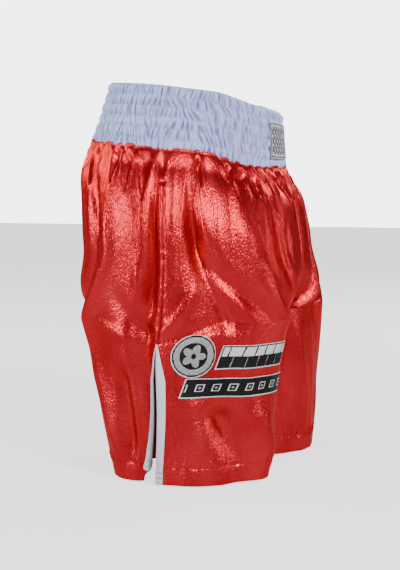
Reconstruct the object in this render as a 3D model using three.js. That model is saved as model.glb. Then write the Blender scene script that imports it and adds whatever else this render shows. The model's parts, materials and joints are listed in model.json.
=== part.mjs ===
// Kickboxing shorts: gathered satin body, shirred elastic waistband, side vents with
// contrast binding, turned-up hems, a front label and an embroidered leg emblem.
// Millimetres, +Z up. The front faces -Y and the wearer's right is -X. The origin is at
// floor level under the middle of the garment, so the hems lie in the plane z = 0.

import * as THREE from "three";

// ---------------------------------------------------------------- driving dimensions

const HEM_Z = 0;
const CROTCH_Z = 185;
const RISE_TOP_Z = 240;
const SEAM_Z = 364;
const BAND_HEIGHT = 76;

// Outer form of the garment at a few heights: half width, half depth, how far the
// section's centre lies behind the origin, the side seam's angle behind the section's
// widest point, and how much fuller than an oval the section is between its seams.
// Between the heights it runs on a smooth curve.
const WIDTH = 190;
const THIGH_BELOW_CROTCH = 31;
const HEM_FORM = { z: HEM_Z, halfWidth: WIDTH, halfDepth: 92, back: -24, seam: 16, full: 0 };
const THIGH_FORM = { z: CROTCH_Z - THIGH_BELOW_CROTCH, halfWidth: WIDTH, halfDepth: 114, back: -11, seam: 2, full: 0.01 };
const CROTCH_FORM = { z: CROTCH_Z, halfWidth: WIDTH, halfDepth: 120, back: -7, seam: 0, full: 0.02 };
const SEAT_FORM = { z: RISE_TOP_Z, halfWidth: WIDTH, halfDepth: 134, back: 1, seam: -2, full: 0.06 };
const HIP_FORM = { z: 300, halfWidth: 183, halfDepth: 131, back: 6, seam: -4, full: 0.05 };
const PUFF_FORM = { z: 340, halfWidth: 168, halfDepth: 127, back: 12, seam: -5, full: 0.02 };
const SEAM_FORM = { z: SEAM_Z, halfWidth: 150, halfDepth: 114, back: 15, seam: -5, full: 0 };
const BAND_TOP_FORM = { halfWidth: 140, halfDepth: 100, back: 6 };

// The waist sits higher at the back: rise in z for each millimetre towards the back.
const SEAM_SLOPE = 0.084;
const BAND_TOP_SLOPE = 0.123;
const SLOPE_START_Z = RISE_TOP_Z;

const CLOTH = 2;
const SEAM_GAP = 0.3;
const HALF_GAP = SEAM_GAP / 2;

// Around the crotch point the cloth lies almost flat, with its inside upwards: from this
// share of the way round the leg, and between these heights, thickness points up as well.
const CROTCH_FLAT = { turn: 0.6, below: 2, above: 3, end: 50 };
const LEG_CLEARANCE_AT_HEM = 8;

// Each leg swings about a lateral axis at crotch height. The cloth between the hip and
// leg panels, the crease band, widens to the front and back by these angles.
const CREASE_AT_SEAMS = 4;
const FRONT_CREASE = { hip: 13, leg: 9 };
const BACK_CREASE = { hip: 10, leg: 7 };

const VENT_TOP_BELOW_CROTCH = 25;
const VENT_TOP_Z = CROTCH_Z - VENT_TOP_BELOW_CROTCH;
const VENT_HALF_OPENING = { hem: 4, top: 1.5 };
const BINDING_WIDTH = 12;
const BINDING_TOP_GAP = 2;
const BARTACK = { height: 4, halfLength: 5, thickness: 1 };

const HEM_TURN_UP = { height: 20, thickness: 1, bottom: 1 };

const CASING_WALL = 1.6;
const CASING_LINING = 1.2;
const ELASTIC = { height: 10.5, thickness: 1.6, clearance: 0.4 };
const ELASTIC_COUNT = 6;

// How finely the curved pieces are divided.
const RING_SEGMENTS = 48;
const ROUND_COLUMNS = 16;
const HIP_ROWS = 8;
const CREASE_ROWS = 2;
const LEG_ROWS = { besideVent: 6, aboveVent: 3 };
const BINDING_GRID = { columns: 2, rows: 8 };
const BARTACK_COLUMNS = 2;
const BAR_GRID = { columns: 10, rows: 2 };
const MEDALLION_GRID = 8;

const LABEL = { halfWidth: 36, height: 45, aboveSeam: 10, thickness: 1.2 };

const APPLIQUE = 1.2;
const LEG_MEAN_RADIUS = 102;
const MEDALLION = { width: 46, height: 52, fromVent: 42, z: CROTCH_Z - 44 };
const UPPER_BAR = { length: 96, height: 26, fromVent: 70, z: CROTCH_Z - 45, lean: 7 };
const LOWER_BAR = { length: 140, height: 24, fromVent: 26, z: CROTCH_Z - 84, lean: 7 };

// ---------------------------------------------------------------- colours

const cloth = (color, roughness) =>
  new THREE.MeshStandardMaterial({ color, roughness, metalness: 0 });
const RED_SATIN = cloth(0xc81f22, 0.35);
const WHITE_CASING = cloth(0xb9c6e2, 0.8);
const WHITE_BINDING = cloth(0xdfe4ee, 0.6);
const RUBBER_BRAID = cloth(0xf0eee6, 0.9);
const LABEL_WEAVE = cloth(0xc4c6c2, 0.8);
const THREAD = cloth(0xb01518, 0.6);
const EMBROIDERY = cloth(0xa9a8a6, 0.7);

// ---------------------------------------------------------------- the garment's form

const { clamp, lerp, degToRad, smoothstep } = THREE.MathUtils;

const STATIONS = [
  HEM_FORM,
  THIGH_FORM,
  CROTCH_FORM,
  SEAT_FORM,
  HIP_FORM,
  PUFF_FORM,
  SEAM_FORM,
];
const formCurve = new THREE.CubicInterpolant(
  STATIONS.map((s) => s.z),
  STATIONS.flatMap((s) => [s.halfWidth, s.halfDepth, s.back, degToRad(s.seam), s.full]),
  5,
);

/** Sizes of the satin's outer face and the side seam's angle at a height. */
function formAt(z) {
  const [halfWidth, halfDepth, back, seam, full] = formCurve.evaluate(
    clamp(z, HEM_Z, SEAM_Z),
  );
  return { halfWidth, halfDepth, back, seam, full };
}

/** Distance from the middle plane to the centre of a leg's section; 0 is one oval. */
function legCentre(z, halfWidth) {
  if (z <= CROTCH_Z) {
    const apart = lerp(LEG_CLEARANCE_AT_HEM, HALF_GAP, z / CROTCH_Z);
    return (halfWidth + apart) / 2;
  }
  const opened = Math.min((z - CROTCH_Z) / (RISE_TOP_Z - CROTCH_Z), 1);
  return ((halfWidth + HALF_GAP) * (1 - opened)) / (2 - opened);
}

/** How much the rows of cloth rise towards the back at a height. */
function slopeAt(z) {
  return SEAM_SLOPE * smoothstep(z, SLOPE_START_Z, SEAM_Z);
}

/** How far the inside of the cloth faces up instead of sideways; 1 at the crotch point. */
function crotchLift(turn, z) {
  const { turn: from, below, above, end } = CROTCH_FLAT;
  const risen = smoothstep(z, CROTCH_Z - below, CROTCH_Z + above);
  const ended = smoothstep(z, CROTCH_Z + above, CROTCH_Z + end);
  return smoothstep(turn, from, 1) * risen * (1 - ended);
}

/**
 * A point of the right half of the satin. face is -1 on the front and 1 on the back;
 * turn runs from 0 at the side seam to 1 at the centre seam or the inseam; out is the
 * distance outside the outer face.
 */
function satinPoint(face, turn, z, out) {
  const { halfWidth, halfDepth, back, seam, full } = formAt(z);
  const centre = legCentre(z, halfWidth);
  const across = halfWidth - centre;
  const sideEdge = HALF_GAP / halfDepth;
  const meets = (HALF_GAP - centre) / across;
  const innerEdge = meets <= -1 ? Math.PI - sideEdge : Math.acos(meets);
  const angle = lerp(sideEdge + face * seam, innerEdge, turn);
  const swell = 1 + full * Math.sin(Math.PI * turn) ** 2;
  const y = back + face * (halfDepth * swell + out) * Math.sin(angle);
  const x = -centre - (across * swell + out) * Math.cos(angle);
  return new THREE.Vector3(
    Math.min(x, -HALF_GAP),
    y,
    z + slopeAt(z) * (y - back) - out * crotchLift(turn, z),
  );
}

/** A point of the leg at a distance round it from the side seam. */
function legPoint(face, round, z, out) {
  return satinPoint(face, round / LEG_MEAN_RADIUS / Math.PI, z, out);
}

/** Half width, half depth, shift and slope of the waistband's outer face at a height. */
function bandAt(z) {
  const up = (z - SEAM_Z) / BAND_HEIGHT;
  return {
    halfWidth: lerp(SEAM_FORM.halfWidth, BAND_TOP_FORM.halfWidth, up),
    halfDepth: lerp(SEAM_FORM.halfDepth, BAND_TOP_FORM.halfDepth, up),
    back: lerp(SEAM_FORM.back, BAND_TOP_FORM.back, up),
    slope: lerp(SEAM_SLOPE, BAND_TOP_SLOPE, up),
  };
}

/** A point of the waistband: angle 0 is the wearer's left and -90 degrees the front. */
function bandPoint(angle, z, out) {
  const { halfWidth, halfDepth, back, slope } = bandAt(z);
  const y = back + (halfDepth + out) * Math.sin(angle);
  return new THREE.Vector3(
    (halfWidth + out) * Math.cos(angle),
    y,
    z + slope * (y - back),
  );
}

// ---------------------------------------------------------------- building solids

const BOX_INNER_FACE = 5;
const SQUARE_INDICES = 6;

/** Moves every vertex of a geometry by a function of its place. */
function warp(geometry, move) {
  const position = geometry.getAttribute("position");
  const p = new THREE.Vector3();
  for (let i = 0; i < position.count; i += 1) {
    const q = move(p.fromBufferAttribute(position, i));
    position.setXYZ(i, q.x, q.y, q.z);
  }
  geometry.computeVertexNormals();
  return geometry;
}

/** Splits the squares of a box's inner face like those of its outer face. */
function matchDiagonals(box) {
  const index = box.getIndex();
  const { start, count } = box.groups[BOX_INNER_FACE];
  for (let i = start; i < start + count; i += SQUARE_INDICES) {
    const [a, b, d] = index.array.slice(i, i + 3);
    const c = index.array[i + 4];
    index.array.set([a, b, c, a, c, d], i);
  }
}

function warpBox(box, place) {
  return warp(box, (p) => place(p.x + 0.5, p.y + 0.5, 0.5 - p.z));
}

/**
 * A curved slab: a box whose width, height and depth become the three arguments of
 * place(u, v, n), each from 0 to 1, with n = 0 on the outer face.
 */
function slab(columns, rows, place) {
  return warpBox(new THREE.BoxGeometry(1, 1, 1, columns, rows, 1), place);
}

/** A slab that keeps its thickness where the cloth twists sharply, as at the crotch. */
function twistedSlab(columns, rows, place) {
  const box = new THREE.BoxGeometry(1, 1, 1, columns, rows, 1);
  matchDiagonals(box);
  return warpBox(box, place);
}

/** A closed ring on the waistband from a profile of [out, z] points. */
function bandRing(profile) {
  const base = 2 * WIDTH;
  const points = profile.map(([out, z]) => new THREE.Vector2(base + out, z));
  const lathe = new THREE.LatheGeometry([...points, points[0]], RING_SEGMENTS);
  lathe.rotateX(Math.PI / 2);
  return warp(lathe, (p) =>
    bandPoint(Math.atan2(p.y, p.x), p.z, Math.hypot(p.x, p.y) - base),
  );
}

function piece(name, geometry, material) {
  const mesh = new THREE.Mesh(geometry, material);
  mesh.name = name;
  return mesh;
}

/** Picks u so that a slab's faces point outwards on the front and on the back. */
const along = (face, u) => (face < 0 ? u : 1 - u);

// ---------------------------------------------------------------- satin panels

/** Half the extra width of the crease band at a place round the leg. */
function creaseReach(face, turn, part) {
  const angle = (face < 0 ? FRONT_CREASE : BACK_CREASE)[part];
  const outFromAxis = CROTCH_FORM.halfDepth * Math.sin(Math.PI * turn);
  return CREASE_AT_SEAMS / 2 + outFromAxis * Math.tan(degToRad(angle));
}
const hipEdge = (face, turn) => CROTCH_Z + creaseReach(face, turn, "hip");
const legEdge = (face, turn) => CROTCH_Z - creaseReach(face, turn, "leg");

function hipPanel(face) {
  return twistedSlab(ROUND_COLUMNS, HIP_ROWS, (u, v, n) => {
    const turn = along(face, u);
    const z = lerp(hipEdge(face, turn), SEAM_Z - SEAM_GAP, v);
    return satinPoint(face, turn, z, -n * CLOTH);
  });
}

function creaseBand(face) {
  return twistedSlab(ROUND_COLUMNS, CREASE_ROWS, (u, v, n) => {
    const turn = along(face, u);
    const bottom = legEdge(face, turn) + SEAM_GAP;
    const top = hipEdge(face, turn) - SEAM_GAP;
    return satinPoint(face, turn, lerp(bottom, top, v), -n * CLOTH);
  });
}

const ventOpening = (z) =>
  lerp(VENT_HALF_OPENING.hem, VENT_HALF_OPENING.top, z / VENT_TOP_Z);
const bindingEdge = (z) => ventOpening(z) + BINDING_WIDTH;

/** Where a leg panel starts beside the vent, as a distance round the leg. */
function panelStart(z) {
  return z < VENT_TOP_Z ? bindingEdge(z) + SEAM_GAP : 0;
}

function legPanel(face) {
  const ventRows = LEG_ROWS.besideVent;
  const rows = ventRows + LEG_ROWS.aboveVent;
  return slab(ROUND_COLUMNS, rows, (u, v, n) => {
    const turn = along(face, u);
    const row = Math.round(v * rows);
    const ventEnd = VENT_TOP_Z - SEAM_GAP;
    const above = (row - ventRows - 1) / (rows - ventRows - 1);
    const z =
      row <= ventRows
        ? (ventEnd * row) / ventRows
        : lerp(VENT_TOP_Z + SEAM_GAP, legEdge(face, turn), above);
    const start = panelStart(z) / LEG_MEAN_RADIUS / Math.PI;
    return satinPoint(face, lerp(start, 1, turn), z, -n * CLOTH);
  });
}

function ventBinding(face) {
  return slab(BINDING_GRID.columns, BINDING_GRID.rows, (u, v, n) => {
    const z = v * (VENT_TOP_Z - BINDING_TOP_GAP);
    const round = lerp(ventOpening(z), bindingEdge(z), along(face, u));
    return legPoint(face, round, z, -n * CLOTH);
  });
}

function hemTurnUp(face) {
  return slab(ROUND_COLUMNS, 1, (u, v, n) => {
    const z = HEM_TURN_UP.bottom + v * HEM_TURN_UP.height;
    const start = panelStart(z) / LEG_MEAN_RADIUS / Math.PI;
    const turn = lerp(start, 1, along(face, u));
    const out = -CLOTH - SEAM_GAP - n * HEM_TURN_UP.thickness;
    return satinPoint(face, turn, z, out);
  });
}

function ventBartack() {
  return slab(BARTACK_COLUMNS, 1, (u, v, n) => {
    const round = (2 * u - 1) * BARTACK.halfLength;
    const z = VENT_TOP_Z + SEAM_GAP + v * BARTACK.height;
    const out = SEAM_GAP + (1 - n) * BARTACK.thickness;
    return legPoint(round > 0 ? -1 : 1, Math.abs(round), z, out);
  });
}

// ---------------------------------------------------------------- emblem on the leg

/** A strip with leaning ends, sewn on the front of the right leg. */
function emblemBar({ length, height, fromVent, z: middle, lean }) {
  return slab(BAR_GRID.columns, BAR_GRID.rows, (u, v, n) => {
    const round = fromVent + u * length + (v - 0.5) * lean;
    const z = middle + (v - 0.5) * height;
    return legPoint(-1, round, z, SEAM_GAP + (1 - n) * APPLIQUE);
  });
}

/** An oval badge: a square grid drawn in to an ellipse. */
function emblemMedallion() {
  return slab(MEDALLION_GRID, MEDALLION_GRID, (u, v, n) => {
    const across = 2 * u - 1;
    const up = 2 * v - 1;
    const x = across * Math.sqrt(1 - (up * up) / 2);
    const y = up * Math.sqrt(1 - (across * across) / 2);
    const round = MEDALLION.fromVent + (x * MEDALLION.width) / 2;
    const z = MEDALLION.z + (y * MEDALLION.height) / 2;
    return legPoint(-1, round, z, SEAM_GAP + (1 - n) * APPLIQUE);
  });
}

// ---------------------------------------------------------------- waistband

const CAVITY_DEPTH = ELASTIC.thickness + 2 * ELASTIC.clearance;

function waistbandCasing() {
  const top = SEAM_Z + BAND_HEIGHT;
  const cavity = -CASING_WALL - CAVITY_DEPTH;
  const inside = cavity - CASING_LINING;
  const middle = SEAM_Z + BAND_HEIGHT / 2;
  return bandRing([
    [0, SEAM_Z],
    [0, middle],
    [0, top],
    [inside, top],
    [inside, middle],
    [inside, SEAM_Z],
    [cavity, SEAM_Z],
    [cavity, top - CASING_WALL],
    [-CASING_WALL, top - CASING_WALL],
    [-CASING_WALL, SEAM_Z],
  ]);
}

function waistElastic(index) {
  const channel = (BAND_HEIGHT - CASING_WALL) / ELASTIC_COUNT;
  const bottom = SEAM_Z + (index + 0.5) * channel - ELASTIC.height / 2;
  const outer = -CASING_WALL - ELASTIC.clearance;
  const inner = outer - ELASTIC.thickness;
  return bandRing([
    [outer, bottom],
    [outer, bottom + ELASTIC.height],
    [inner, bottom + ELASTIC.height],
    [inner, bottom],
  ]);
}

function frontLabel() {
  const front = -Math.PI / 2;
  const spread = Math.asin(LABEL.halfWidth / BAND_TOP_FORM.halfWidth);
  return slab(8, 2, (u, v, n) => {
    const z = SEAM_Z + LABEL.aboveSeam + v * LABEL.height;
    const out = SEAM_GAP + (1 - n) * LABEL.thickness;
    return bandPoint(front + (2 * u - 1) * spread, z, out);
  });
}

// ---------------------------------------------------------------- assembly

function waistband() {
  const group = new THREE.Group();
  group.add(piece("waistband_casing", waistbandCasing(), WHITE_CASING));
  for (let i = 0; i < ELASTIC_COUNT; i += 1) {
    group.add(piece(`waist_elastic_${i + 1}`, waistElastic(i), RUBBER_BRAID));
  }
  group.add(piece("front_label", frontLabel(), LABEL_WEAVE));
  return group;
}

function emblem() {
  const group = new THREE.Group();
  group.add(piece("emblem_medallion", emblemMedallion(), EMBROIDERY));
  group.add(piece("emblem_upper_bar", emblemBar(UPPER_BAR), EMBROIDERY));
  group.add(piece("emblem_lower_bar", emblemBar(LOWER_BAR), EMBROIDERY));
  return group;
}

/** Everything that the two sides share, drawn for the wearer's right. */
function sidePieces(side) {
  const group = new THREE.Group();
  const faces = { front: -1, back: 1 };
  for (const [name, face] of Object.entries(faces)) {
    const prefix = `${side}_${name}`;
    group.add(piece(`${prefix}_hip_panel`, hipPanel(face), RED_SATIN));
    group.add(piece(`${prefix}_crease_band`, creaseBand(face), RED_SATIN));
    group.add(piece(`${prefix}_leg_panel`, legPanel(face), RED_SATIN));
    group.add(piece(`${prefix}_hem_turn_up`, hemTurnUp(face), RED_SATIN));
    group.add(piece(`${prefix}_vent_binding`, ventBinding(face), WHITE_BINDING));
  }
  group.add(piece(`${side}_vent_bartack`, ventBartack(), THREAD));
  return group;
}

const shorts = new THREE.Group();
const rightSide = sidePieces("right");
const leftSide = sidePieces("left");
leftSide.scale.x = -1;
shorts.add(waistband(), rightSide, leftSide, emblem());

// The origin lies under the middle of the garment's outer box.
const middle = new THREE.Box3().setFromObject(shorts).getCenter(new THREE.Vector3());
shorts.position.y = -middle.y;

export default shorts;
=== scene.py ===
"""Kickboxing shorts in crepe satin: gathered body, shirred waistband, bound side vents."""

import json
import logging
import math
from dataclasses import astuple, dataclass
from enum import Enum

import bpy
import numpy as np
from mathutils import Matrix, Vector

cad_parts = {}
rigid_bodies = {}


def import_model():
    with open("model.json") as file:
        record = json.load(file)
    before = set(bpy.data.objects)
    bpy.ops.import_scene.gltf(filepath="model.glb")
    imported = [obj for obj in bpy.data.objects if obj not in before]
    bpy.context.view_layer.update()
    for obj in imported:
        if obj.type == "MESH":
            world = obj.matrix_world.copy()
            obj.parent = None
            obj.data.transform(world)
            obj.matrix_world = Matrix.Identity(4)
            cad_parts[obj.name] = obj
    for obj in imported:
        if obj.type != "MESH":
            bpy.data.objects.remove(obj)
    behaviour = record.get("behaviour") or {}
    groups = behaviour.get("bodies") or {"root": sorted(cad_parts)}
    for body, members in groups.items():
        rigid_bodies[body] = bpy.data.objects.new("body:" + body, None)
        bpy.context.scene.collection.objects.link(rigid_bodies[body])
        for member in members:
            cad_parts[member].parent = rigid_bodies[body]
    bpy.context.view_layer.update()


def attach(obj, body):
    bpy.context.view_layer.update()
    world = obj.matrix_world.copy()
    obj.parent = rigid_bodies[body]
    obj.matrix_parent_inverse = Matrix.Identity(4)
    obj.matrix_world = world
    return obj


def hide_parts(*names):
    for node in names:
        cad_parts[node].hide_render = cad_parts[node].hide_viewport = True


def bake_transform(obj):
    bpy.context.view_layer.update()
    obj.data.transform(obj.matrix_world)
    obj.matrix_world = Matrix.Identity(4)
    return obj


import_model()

log = logging.getLogger("shorts")
logging.basicConfig(level=logging.INFO, format="%(message)s")

MM = 0.001
LEG_HALF_ROUND = 102.0 * math.pi
BAND_RADIUS = 126.0
TINY = 1e-9
Array = np.ndarray
Socket = bpy.types.NodeSocket
Triple = tuple[float, float, float]
Table = tuple[tuple[float, float], ...]


class Side(Enum):
    """The wearer's sides, with the sign of x."""

    RIGHT = -1
    LEFT = 1

    @property
    def label(self) -> str:
        """Prefix of the CAD nodes on this side."""
        return self.name.lower()

    @property
    def leg(self) -> str:
        """Name of the CAD body of this side's leg."""
        return f"{self.label}_leg"


class Face(Enum):
    """Front or back of the garment, with the sign of y."""

    FRONT = -1
    BACK = 1

    @property
    def label(self) -> str:
        """Part of the CAD nodes' names for this face."""
        return self.name.lower()


# ------------------------------------------------------------------ small tools


def smoothstep(x: Array | float, low: float, high: float) -> Array:
    """Runs smoothly from 0 at low to 1 at high."""
    t = np.clip((np.asarray(x, float) - low) / (high - low), 0.0, 1.0)
    return t * t * (3.0 - 2.0 * t)


def bump(x: Array | float, centre: float | Array, width: float | Array) -> Array:
    """A bell of height 1 and the given half width."""
    return np.exp(-(((np.asarray(x, float) - centre) / width) ** 2))


class Noise:
    """Smooth seeded noise on a plane, made of a few plane waves."""

    WAVES = 14
    SPREAD = (0.65, 1.6)

    def __init__(self, seed: int, size: float, stretch: float = 1.0) -> None:
        """Draws the waves.

        Args:
            seed: Seed of the random draws.
            size: Typical wavelength in millimetres across the first axis.
            stretch: How much longer the waves are along the second axis.
        """
        rng = np.random.default_rng(seed)
        angle = rng.uniform(0, 2 * math.pi, self.WAVES)
        length = size * rng.uniform(*self.SPREAD, self.WAVES)
        self.kx = 2 * math.pi * np.cos(angle) / length
        self.ky = 2 * math.pi * np.sin(angle) / length / stretch
        self.phase = rng.uniform(0, 2 * math.pi, self.WAVES)

    def __call__(self, x: Array, y: Array) -> Array:
        """Noise at points, with a standard deviation of about 1.

        Args:
            x: First coordinate, in millimetres.
            y: Second coordinate.

        Returns:
            The noise, shaped like x and y together.
        """
        total = np.zeros(np.broadcast(x, y).shape)
        for kx, ky, phase in zip(self.kx, self.ky, self.phase):
            total += np.sin(kx * x + ky * y + phase)
        return total / math.sqrt(self.WAVES / 2)


# ------------------------------------------------------------------ the garment's form


@dataclass(frozen=True)
class Station:
    """One level of the garment's form, in millimetres.

    seam is the side seam's angle in degrees behind the widest point, full is how much
    fuller than an oval the section is between its seams, and right_back and left_back
    are how far each leg hangs behind the section's place.
    """

    z: float
    half_width: float
    half_depth: float
    back: float
    seam: float = 0.0
    full: float = 0.0
    right_back: float = 0.0
    left_back: float = 0.0


@dataclass(frozen=True)
class Form:
    """The smooth form under the folds, in millimetres."""

    crotch_z: float = 185.0
    rise_top_z: float = 266.0
    slope_start_z: float = 240.0
    seam_z: float = 364.0
    band_height: float = 76.0
    seam_slope: float = 0.084
    band_top_slope: float = 0.123
    leg_gap_at_hem: float = 8.0
    shift_y: float = -2.55
    stations: tuple[Station, ...] = (
        Station(0, 190, 92, -24, 16, 0.0, 8, -7),
        Station(80, 190, 104, -17, 8, 0.0, 8, -6),
        Station(154, 190, 114, -11, 5, 0.01, 5, -4),
        Station(185, 190, 118.5, -7, 1.5, 0.02, 3, -3),
        Station(240, 189, 128, -0.5, -2, 0.055),
        Station(300, 183, 129, 6, -4, 0.05),
        Station(340, 168, 127, 12, -5, 0.02),
        Station(364, 150, 114, 15, -5, 0.0),
    )
    band_top: Station = Station(440, 140, 100, 6)
    seam_rise: float = 14.5
    top_rise: float = 11.0
    top_drop: float = 2.0
    back_drop: float = 4.0
    left_drop: float = 10.5

    def section(self, z: Array) -> Array:
        """Values of the stations at heights, on a smooth curve.

        Args:
            z: Nominal heights.

        Returns:
            One row per value of a station, each shaped like z.
        """
        zs = np.array([s.z for s in self.stations], float)
        rows = np.array([astuple(s)[1:] for s in self.stations], float)
        slope = np.gradient(rows, zs, axis=0)
        z = np.clip(z, zs[0], zs[-1])
        i = np.clip(np.searchsorted(zs, z, side="right") - 1, 0, len(zs) - 2)
        span = zs[i + 1] - zs[i]
        t = ((z - zs[i]) / span)[..., None]
        span = span[..., None]
        h00, h10 = 2 * t**3 - 3 * t**2 + 1, t**3 - 2 * t**2 + t
        h01, h11 = -2 * t**3 + 3 * t**2, t**3 - t**2
        out = h00 * rows[i] + h10 * span * slope[i] + h01 * rows[i + 1]
        out += h11 * span * slope[i + 1]
        return np.moveaxis(out, -1, 0)

    def leg_centre(self, turn: Array, z: Array, half_width: Array) -> Array:
        """Distance of a leg's centre from the middle plane.

        Above the crotch point the legs merge slowly at the sides and fast at the seam.

        Args:
            turn: 0 at the side seam to 1 at the centre seam or inseam.
            z: Nominal height.
            half_width: Half the garment's width at that height.

        Returns:
            The distance in millimetres.
        """
        apart = self.leg_gap_at_hem * (1 - z / self.crotch_z)
        opened = np.clip((z - self.crotch_z) / (self.rise_top_z - self.crotch_z), 0, 1)
        slow = 1 - opened**2 * (3 - 2 * opened)
        near_seam = smoothstep(turn, 0.3, 0.95)
        share = slow + ((1 - opened) ** 2.2 - slow) * near_seam
        merged = half_width * share / (1 + share)
        return np.where(z <= self.crotch_z, (half_width + apart) / 2, merged)

    def seam_lift(self, place: Array) -> Array:
        """How far the waist seam arches up; place is -1 at the front and 1 at the back."""
        return self.seam_rise * smoothstep(place, -1.0, -0.3)

    def top_lift(self, place: Array) -> Array:
        """How far the band's top edge arches up."""
        arch = (self.top_rise + self.top_drop) * smoothstep(place, -1.05, -0.5)
        return arch - self.top_drop - self.back_drop * smoothstep(place, 0.0, 1.0)

    def satin(self, side: Side, face: Face, turn: Array, z: Array) -> Array:
        """Points of the smooth satin surface.

        Args:
            side: Which leg.
            face: Front or back.
            turn: 0 at the side seam to 1 at the centre seam or inseam.
            z: Nominal height, before the rows rise towards the back.

        Returns:
            Points in millimetres, shaped like turn with a last axis of 3.
        """
        half_width, half_depth, back, seam, full, right, left = self.section(z)
        back = back + (right if side is Side.RIGHT else left)
        centre = self.leg_centre(turn, z, half_width)
        across = half_width - centre
        inner = np.arccos(np.clip(-centre / np.maximum(across, 1e-6), -1, 1))
        start = np.radians(seam) * face.value
        angle = start + (inner - start) * turn
        swell = 1 + full * np.sin(math.pi * turn) ** 2
        y = back + face.value * half_depth * swell * np.sin(angle)
        x = centre + across * swell * np.cos(angle)
        slope = self.seam_slope * smoothstep(z, self.slope_start_z, self.seam_z)
        place = np.clip((y - back) / half_depth, -1, 1)
        raised = z + self.seam_lift(place) * smoothstep(z, self.slope_start_z, self.seam_z)
        return np.stack(
            [side.value * x, y + self.shift_y, raised + slope * (y - back)], axis=-1
        )

    def band(self, angle: Array, z: Array, out: Array) -> Array:
        """Points of the waistband.

        Args:
            angle: Place round the band; 0 is the wearer's left, -90 degrees the front.
            z: Nominal height.
            out: Distance outside the smooth band.

        Returns:
            Points in millimetres.
        """
        seam = self.stations[-1]
        up = (z - self.seam_z) / self.band_height
        half_width = seam.half_width + (self.band_top.half_width - seam.half_width) * up
        half_depth = seam.half_depth + (self.band_top.half_depth - seam.half_depth) * up
        back = seam.back + (self.band_top.back - seam.back) * up
        slope = self.seam_slope + (self.band_top_slope - self.seam_slope) * up
        y = back + (half_depth + out) * np.sin(angle)
        x = (half_width + out) * np.cos(angle)
        place = np.sin(angle)
        left = self.left_drop * smoothstep(np.cos(angle), -0.35, 0.95)
        arch = self.seam_lift(place) * (1 - up) + (self.top_lift(place) - left) * up
        return np.stack([x, y + self.shift_y, z + arch + slope * (y - back)], axis=-1)


FORM = Form()


# ------------------------------------------------------------------ meshes


def normals_of(points: Array) -> Array:
    """Unit normals of a grid of points, by differences along both directions.

    Args:
        points: Grid of rows by columns by 3.

    Returns:
        Normals, shaped like the grid.
    """
    du = np.gradient(points, axis=1)
    dv = np.gradient(points, axis=0)
    n = np.cross(du, dv)
    return n / np.maximum(np.linalg.norm(n, axis=-1, keepdims=True), TINY)


def mesh_object(name: str, verts: Array, faces: list[tuple[int, ...]]) -> bpy.types.Object:
    """Makes a smooth-shaded object.

    Args:
        name: Object name.
        verts: Points in millimetres.
        faces: Indices of each face's points, seen from outside.

    Returns:
        The object.
    """
    mesh = bpy.data.meshes.new(name)
    mesh.from_pydata((np.asarray(verts, float) * MM).tolist(), [], faces)
    mesh.validate()
    mesh.polygons.foreach_set("use_smooth", [True] * len(mesh.polygons))
    mesh.update()
    obj = bpy.data.objects.new(name, mesh)
    bpy.context.scene.collection.objects.link(obj)
    return obj


def grid_faces(rows: int, cols: int, offset: int = 0, closed: bool = False) -> Array:
    """Quads of a grid of points.

    Args:
        rows: Number of rows.
        cols: Number of columns.
        offset: Index of the grid's first point.
        closed: Whether the last column meets the first.

    Returns:
        Four indices per quad.
    """
    r = np.arange(rows - 1)[:, None]
    c = np.arange(cols if closed else cols - 1)[None, :]
    n = (c + 1) % cols
    a = r * cols + c
    b = r * cols + n
    quads = np.stack([a, b, b + cols, a + cols], axis=-1).reshape(-1, 4)
    return quads + offset


def closed_sheet(name: str, outer: Array, inner: Array, flip: bool = False) -> bpy.types.Object:
    """A closed thin solid between two grids of points with the same shape.

    Args:
        name: Object name.
        outer: Grid of rows by columns by 3, in millimetres, seen from outside.
        inner: The other face.
        flip: Turns the faces round, for a grid whose columns run the other way.

    Returns:
        The object.
    """
    rows, cols = outer.shape[:2]
    count = rows * cols
    verts = np.concatenate([outer.reshape(-1, 3), inner.reshape(-1, 3)])
    front = grid_faces(rows, cols)
    rear = grid_faces(rows, cols, count)[:, ::-1]
    bottom = np.arange(cols)
    top = bottom + (rows - 1) * cols
    left = np.arange(rows) * cols
    right = left + cols - 1
    rim = []
    for line, sign in ((bottom, 1), (top, -1), (left, -1), (right, 1)):
        a, b = line[:-1], line[1:]
        quad = np.stack([b, a, a + count, b + count], axis=-1)
        rim.append(quad if sign > 0 else quad[:, ::-1])
    faces = np.concatenate([front, rear, *rim])
    if flip:
        faces = faces[:, ::-1]
    return mesh_object(name, verts, faces.tolist())


def closed_ring(name: str, outer: Array, inner: Array) -> bpy.types.Object:
    """A closed tube wall between two grids whose columns run round the garment.

    Args:
        name: Object name.
        outer: Grid of rows by columns by 3, in millimetres.
        inner: The wall's inner face.

    Returns:
        The object.
    """
    rows, cols = outer.shape[:2]
    count = rows * cols
    verts = np.concatenate([outer.reshape(-1, 3), inner.reshape(-1, 3)])
    front = grid_faces(rows, cols, 0, True)
    rear = grid_faces(rows, cols, count, True)[:, ::-1]
    c = np.arange(cols)
    n = (c + 1) % cols
    low = np.stack([n, c, c + count, n + count], axis=-1)
    t = (rows - 1) * cols
    high = np.stack([c + t, n + t, n + t + count, c + t + count], axis=-1)
    return mesh_object(name, verts, np.concatenate([front, rear, low, high]).tolist())


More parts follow.
